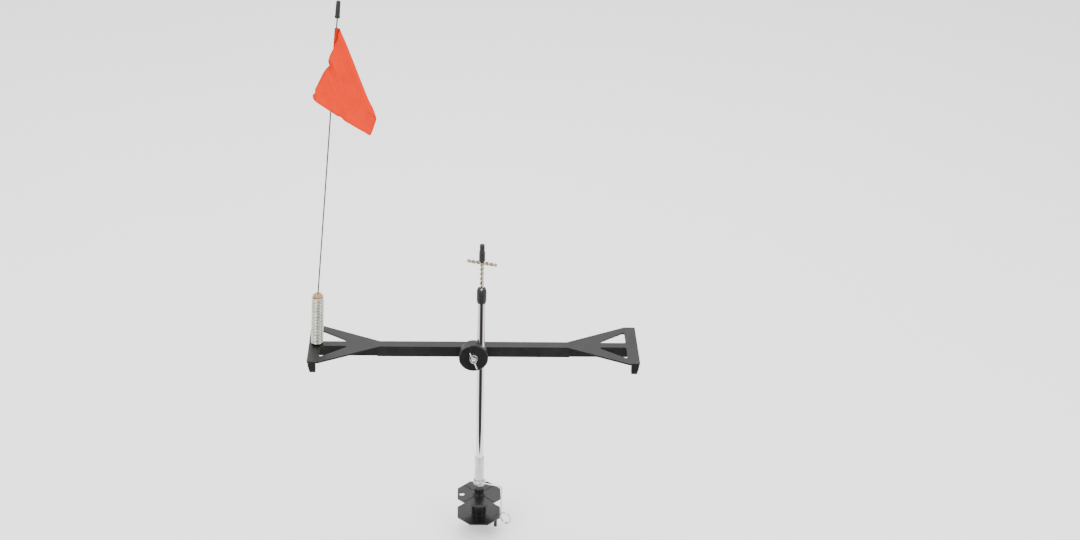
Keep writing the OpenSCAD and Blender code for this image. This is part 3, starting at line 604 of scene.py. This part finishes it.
# ------------------------------------------------------------------ flag spring
# A close coil of nickel-silver coloured wire on a moulded spigot, screwed to the flag end of the
# beam. It lets the flag's rod be bent right over, and throws it upright when the trigger turns.
nickel_silver = bright_metal("spring_nickel_silver", low_tone=(0.42, 0.42, 0.36), high_tone=(0.64, 0.64, 0.56),
                             rough=0.16, lines=(600, 600, 600), depth=0.12, cloud=140.0)
foot, tilt = np.array([-0.2558, 0.0, 0.0195]), np.radians(2.5)
spring_up, spring_out = np.array([np.sin(tilt), 0, np.cos(tilt)]), np.array([np.cos(tilt), 0, -np.sin(tilt)])
turns, wire, r = 30, 0.0026, 0.0087
a = np.linspace(0, 2 * np.pi * turns, turns * 36 + 1)
# a helix on the leaning axis: r round it, and one rise up it for each turn
out_way = np.cos(a)[:, None] * spring_out + np.sin(a)[:, None] * (0, 1.0, 0)
rise = (0.0865 - wire) / turns
line = foot + r * out_way + (0.0005 + wire / 2 + rise * a / (2 * np.pi))[:, None] * spring_up
size = np.clip(0.35 + np.minimum(np.arange(len(a)), np.arange(len(a))[::-1]) / 3, 0, 1)
q = np.linspace(0, 2 * np.pi, 14, endpoint=False)
spring = piece_of("flag_coil_spring", nickel_silver,
                  carried(line, np.stack([np.cos(q), np.sin(q)], 1) * wire / 2, out_way, size=size), crease=70)
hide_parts("flag_spring")
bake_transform(spring)
for node, finish in (("spring_anchor", collar_black), ("anchor_screw", zinc_plate)):
    nodes[node].data.materials.clear()
    nodes[node].data.materials.append(finish)

# ------------------------------------------------------------------ spring plug and flag rod
# A tan plug sits in the top of the spring and grips the foot of the rod, a straight length of
# thin spring steel with a black rubber cap on its tip.
plug_tan = moulded("plug_tan", dark=(0.26, 0.145, 0.07), light=(0.38, 0.23, 0.125), worn=(0.45, 0.32, 0.20),
                   rough=0.48, grain=1500.0, depth=0.5, edge=0.5)
rod_foot = foot + 0.0916 * spring_up
lean = np.radians(5.1)
rod_up, rod_out = np.array([np.sin(lean), 0, np.cos(lean)]), np.array([np.cos(lean), 0, -np.sin(lean)])
outline = [(0, -0.0140), (0.0066, -0.0140), (0.0070, -0.0132), (0.0070, 0.0), (0.0085, 0.0001), (0.0085, 0.0010),
           (0.0074, 0.0030), (0.0040, 0.0054), (0.0012, 0.0055), (0, 0.0055)]
a = np.linspace(0, 2 * np.pi, 96, endpoint=False)
profile = eased(outline, 0.0006)
flutes = -0.00016 * np.clip(np.cos(12 * a), 0, 1)[None, :] * np.clip(profile[:, :1] / 0.004 - 1, 0, 1)
plug_skin = turned(profile, foot + 0.0876 * spring_up, spring_up, 96, wave=flutes)
plug = piece_of("spring_plug_moulding", plug_tan, plug_skin)
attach(plug, "flag")
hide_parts("spring_plug")

rod_steel = bright_metal("rod_spring_steel", low_tone=(0.055, 0.055, 0.052), high_tone=(0.12, 0.12, 0.115), rough=0.3,
                         lines=(1600, 1600, 14), depth=0.2, cloud=90.0)
steps = np.linspace(-0.012, 0.4960, 60)
rod_r = 0.0011
profile = np.vstack([[0, steps[0]], np.stack([0 * steps + rod_r, steps], 1), [0, steps[-1]]])
flag_rod = piece_of("flag_steel_rod", rod_steel, turned(profile, rod_foot, rod_up, 24), crease=50)
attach(flag_rod, "flag")
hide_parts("flag_rod")

cap_rubber = moulded("cap_rubber", dark=(0.008, 0.008, 0.0085), light=(0.016, 0.016, 0.0155),
                     worn=(0.045, 0.044, 0.042), rough=0.5, grain=2600.0, depth=0.4, edge=0.4)
outline = [(0.0012, 0.0), (0.0040, 0.0), (0.0042, 0.0006), (0.0042, 0.0028), (0.0038, 0.0032), (0.0037, 0.012),
           (0.0033, 0.0260), (0.0024, 0.0269), (0, 0.027)]
cap = piece_of("rod_tip_cap", cap_rubber, turned(eased(outline, 0.0006), rod_foot + 0.473 * rod_up, rod_up, 48))
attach(cap, "flag")
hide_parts("tip_cap")

# ------------------------------------------------------------------ flag
# A piece of bright orange nylon with a sleeve sewn along one side for the rod. It is held out by
# its own stiffness below, and its upper outer corner has fallen over and hangs in front.
height, fly, seam_out = 0.110, 0.1235, 0.0055
rows, columns = 56, 62
v, u = np.meshgrid(np.linspace(0, height, rows), np.linspace(0, fly, columns), indexing="ij")
fold = np.array([0.070, -0.058, -0.112])
corner_low, corner_up = np.array([0.0645, -0.048, -0.1485]), np.array([-0.027, -0.020, -0.1034])
seam = np.array([seam_out, -0.0009, 0.0])
bent = 0.0855
# first guess: below the diagonal the cloth lies in the plane of seam and fold, above it each row runs
# straight from the fold to the edge between the two outer corners
share = (v / height)[..., None]
below = seam + share * (0, 0, -height) + (u / bent)[..., None] * (fold - seam - (0, 0, -height))
on_fold = seam + share * (fold - seam)
outer = corner_up + share * (corner_low - corner_up)
past = np.clip((u - bent * v / height) / np.maximum(fly - bent * v / height, 1e-6), 0, 1)[..., None]
cloth = np.where((u <= bent * v / height)[..., None], below, on_fold + past * (outer - on_fold))
free = np.ones((rows, columns, 1))
free[:, 0] = 0
# the points that the cloth is drawn towards: its three corners, the top edge's middle and the outer edge's middle
fold_column = int(bent / fly * (columns - 1))
goal_at = [(0, columns - 1), (rows - 1, columns - 1), (rows - 1, fold_column), (0, columns // 2),
           (rows // 2, columns - 1)]
goal = np.array([corner_up, corner_low, fold, (-0.0010, -0.016, -0.0500),
                 (corner_up + corner_low) / 2 + (0, -0.004, 0)])
du, dv = fly / (columns - 1), height / (rows - 1)
links = [((0, 1), du, 1.0), ((1, 0), dv, 1.0), ((1, 1), np.hypot(du, dv), 0.6), ((1, -1), np.hypot(du, dv), 0.6),
         ((0, 4), 4 * du, 0.16), ((4, 0), 4 * dv, 0.16), ((0, 2), 2 * du, 0.3), ((2, 0), 2 * dv, 0.3)]
for step in range(700):
    cloth[..., 2] -= 0.000004 * free[..., 0]
    for k, (i, j) in enumerate(goal_at):
        cloth[i, j] += (0.25 if k < 3 else 0.06) * (goal[k] - cloth[i, j])
    for (i, j), rest, stiff in links:
        # every link of one kind is moved towards its rest length at once, half for each end
        first = (slice(0, rows - i), slice(max(0, -j), columns - max(0, j)))
        second = (slice(i, rows), slice(max(0, j), columns + min(0, j)))
        way = cloth[second] - cloth[first]
        long = np.linalg.norm(way, axis=-1, keepdims=True)
        move = 0.25 * stiff * (1 - rest / np.maximum(long, 1e-9)) * way
        cloth[first] += move * free[first]
        cloth[second] -= move * free[second]
# the sleeve: a flat loop round the rod that closes on its own seam
b = np.linspace(0, 2 * np.pi, 26)[:-1]
loop_x = 0.0013 + 0.0042 * np.cos(b)
loop_y = 0.0019 * np.sin(b) * (0.55 - 0.45 * np.cos(b)) - 0.00045 + 0.0009 * (1 - b / np.pi).clip(0, 1)
down = np.linspace(0, height, rows)
sleeve_part = np.stack(np.broadcast_arrays(loop_x[None, :], loop_y[None, :], -down[:, None]), -1)
sheet_points = np.concatenate([sleeve_part, cloth], 1)
across_cut = np.concatenate([np.linspace(-0.021, 0, len(b), endpoint=False), np.linspace(0, fly, columns)])
rod_across = np.stack([rod_out, np.array([0, 1.0, 0]), rod_up])
top = rod_foot + 0.4565 * rod_up
flag_mesh = bpy.data.meshes.new("flag_cloth")
cloth_faces = quads(rows, sheet_points.shape[1], False, False).tolist()
flag_mesh.from_pydata((top + sheet_points.reshape(-1, 3) @ rod_across).tolist(), [], cloth_faces)
cut = flag_mesh.uv_layers.new(name="cut")
corner_ids = np.empty(len(flag_mesh.loops), int)
flag_mesh.loops.foreach_get("vertex_index", corner_ids)
cut_uv = np.stack(np.broadcast_arrays(across_cut[None, :], down[:, None]), -1).reshape(-1, 2)
cut.data.foreach_set("uv", cut_uv[corner_ids].ravel())
flag_mesh.shade_smooth()

# plain weave: a bump where sin(u) sin(v) is high, so that threads pass over and under in turn
weave, into, out = group_of("weave", [("Vector", "Vector", None), ("Threads", "Float", 2000.0)],
                            [("Height", "Float"), ("Slub", "Float")])
scaled = put(weave, "ShaderNodeVectorMath", {0: into["Vector"], "Scale": into["Threads"]}, operation="SCALE").outputs[0]
parts = put(weave, "ShaderNodeSeparateXYZ", {0: scaled}).outputs
warp, weft = (maths(weave, parts[i], how="SINE") for i in (0, 1))
weave.links.new(maths(weave, warp, weft, "MULTIPLY"), out["Height"])
streak = put(weave, "ShaderNodeMapping", {"Vector": into["Vector"], "Scale": (60.0, 900.0, 1.0)}).outputs[0]
weave.links.new(noise(weave, streak, 1.0, 3.0, 0.6), out["Slub"])

# the cloth glows faintly in its own orange: a painted glow that keeps it bright and saturated
nylon, tree, shader, place = finish_of("orange_nylon", Specular_IOR_Level=0.05, Emission_Strength=0.12)
on_cut = put(tree, "ShaderNodeUVMap", uv_map="cut").outputs[0]
threads = put(tree, "ShaderNodeGroup", node_tree=weave)
tree.links.new(on_cut, threads.inputs["Vector"])
threads.inputs["Threads"].default_value = 6000.0
fade = noise(tree, place, 34.0, 3.0, 0.6)
orange = mixed(tree, fade, (0.64, 0.020, 0.001), (0.72, 0.030, 0.002))
orange = mixed(tree, maths(tree, threads.outputs["Slub"], 0.22, "MULTIPLY"), orange, (0.50, 0.018, 0.002))
# the turned hem along the three free sides lies a little darker where the cloth is doubled, and stitches run along it
# and along the sleeve's seam; the sleeve's loop is darker by painted shade
hem_line, stitches_per_m = 0.0040, 2600.0
edge = put(tree, "ShaderNodeSeparateXYZ", {0: on_cut}).outputs
to_top_or_foot = maths(tree, edge[1], maths(tree, height, edge[1], "SUBTRACT"), "MINIMUM")
to_side = maths(tree, maths(tree, fly, edge[0], "SUBTRACT"), to_top_or_foot, "MINIMUM")
doubled = ranged(tree, to_side, 0.0046, 0.0050, 1.0, 0.0)
near_stitch = maths(tree, maths(tree, to_side, hem_line, "SUBTRACT"), how="ABSOLUTE")
near_seam = maths(tree, maths(tree, edge[0], 0.0006, "SUBTRACT"), how="ABSOLUTE")
stitch_line = ranged(tree, maths(tree, near_stitch, near_seam, "MINIMUM"), 0.00022, 0.0004, 1.0, 0.0)
dashes = maths(tree, maths(tree, maths(tree, edge[0], edge[1]), stitches_per_m, "MULTIPLY"), how="SINE")
stitches = maths(tree, stitch_line, ranged(tree, dashes, -0.4, 0.0), "MULTIPLY")
orange = mixed(tree, maths(tree, doubled, 0.3, "MULTIPLY"), orange, (0.44, 0.014, 0.002))
orange = mixed(tree, maths(tree, stitches, 0.7, "MULTIPLY"), orange, (0.74, 0.085, 0.02))
# painted shade: the whole sleeve loop is darkened towards a deep red, as if in shadow round the rod
sleeve_painted_shade = ranged(tree, edge[0], -0.0012, 0.0002, 0.6, 0.0)
orange = mixed(tree, sleeve_painted_shade, orange, (0.26, 0.010, 0.002))
# the same colour, painted shade of the sleeve included, also feeds the painted glow
for use in ("Base Color", "Emission Color"):
    tree.links.new(orange, shader.inputs[use])
tree.links.new(ranged(tree, fade, 0.0, 1.0, 0.62, 0.78), shader.inputs["Roughness"])
raised = maths(tree, doubled, maths(tree, stitches, 1.5, "MULTIPLY"))
raised = maths(tree, maths(tree, threads.outputs["Height"], 0.25, "MULTIPLY"), raised)
bump = put(tree, "ShaderNodeBump", {"Strength": 0.5, "Distance": 0.0002, "Height": raised})
tree.links.new(bump.outputs[0], shader.inputs["Normal"])
flag_mesh.materials.append(nylon)
flag = bpy.data.objects.new("flag_nylon_cloth", flag_mesh)
bpy.context.scene.collection.objects.link(flag)
thickness = flag.modifiers.new("thickness", "SOLIDIFY")
thickness.thickness, thickness.offset = 0.00035, 0
rounder = flag.modifiers.new("rounder", "SUBSURF")
rounder.levels = rounder.render_levels = 1
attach(flag, "flag")
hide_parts("flag")
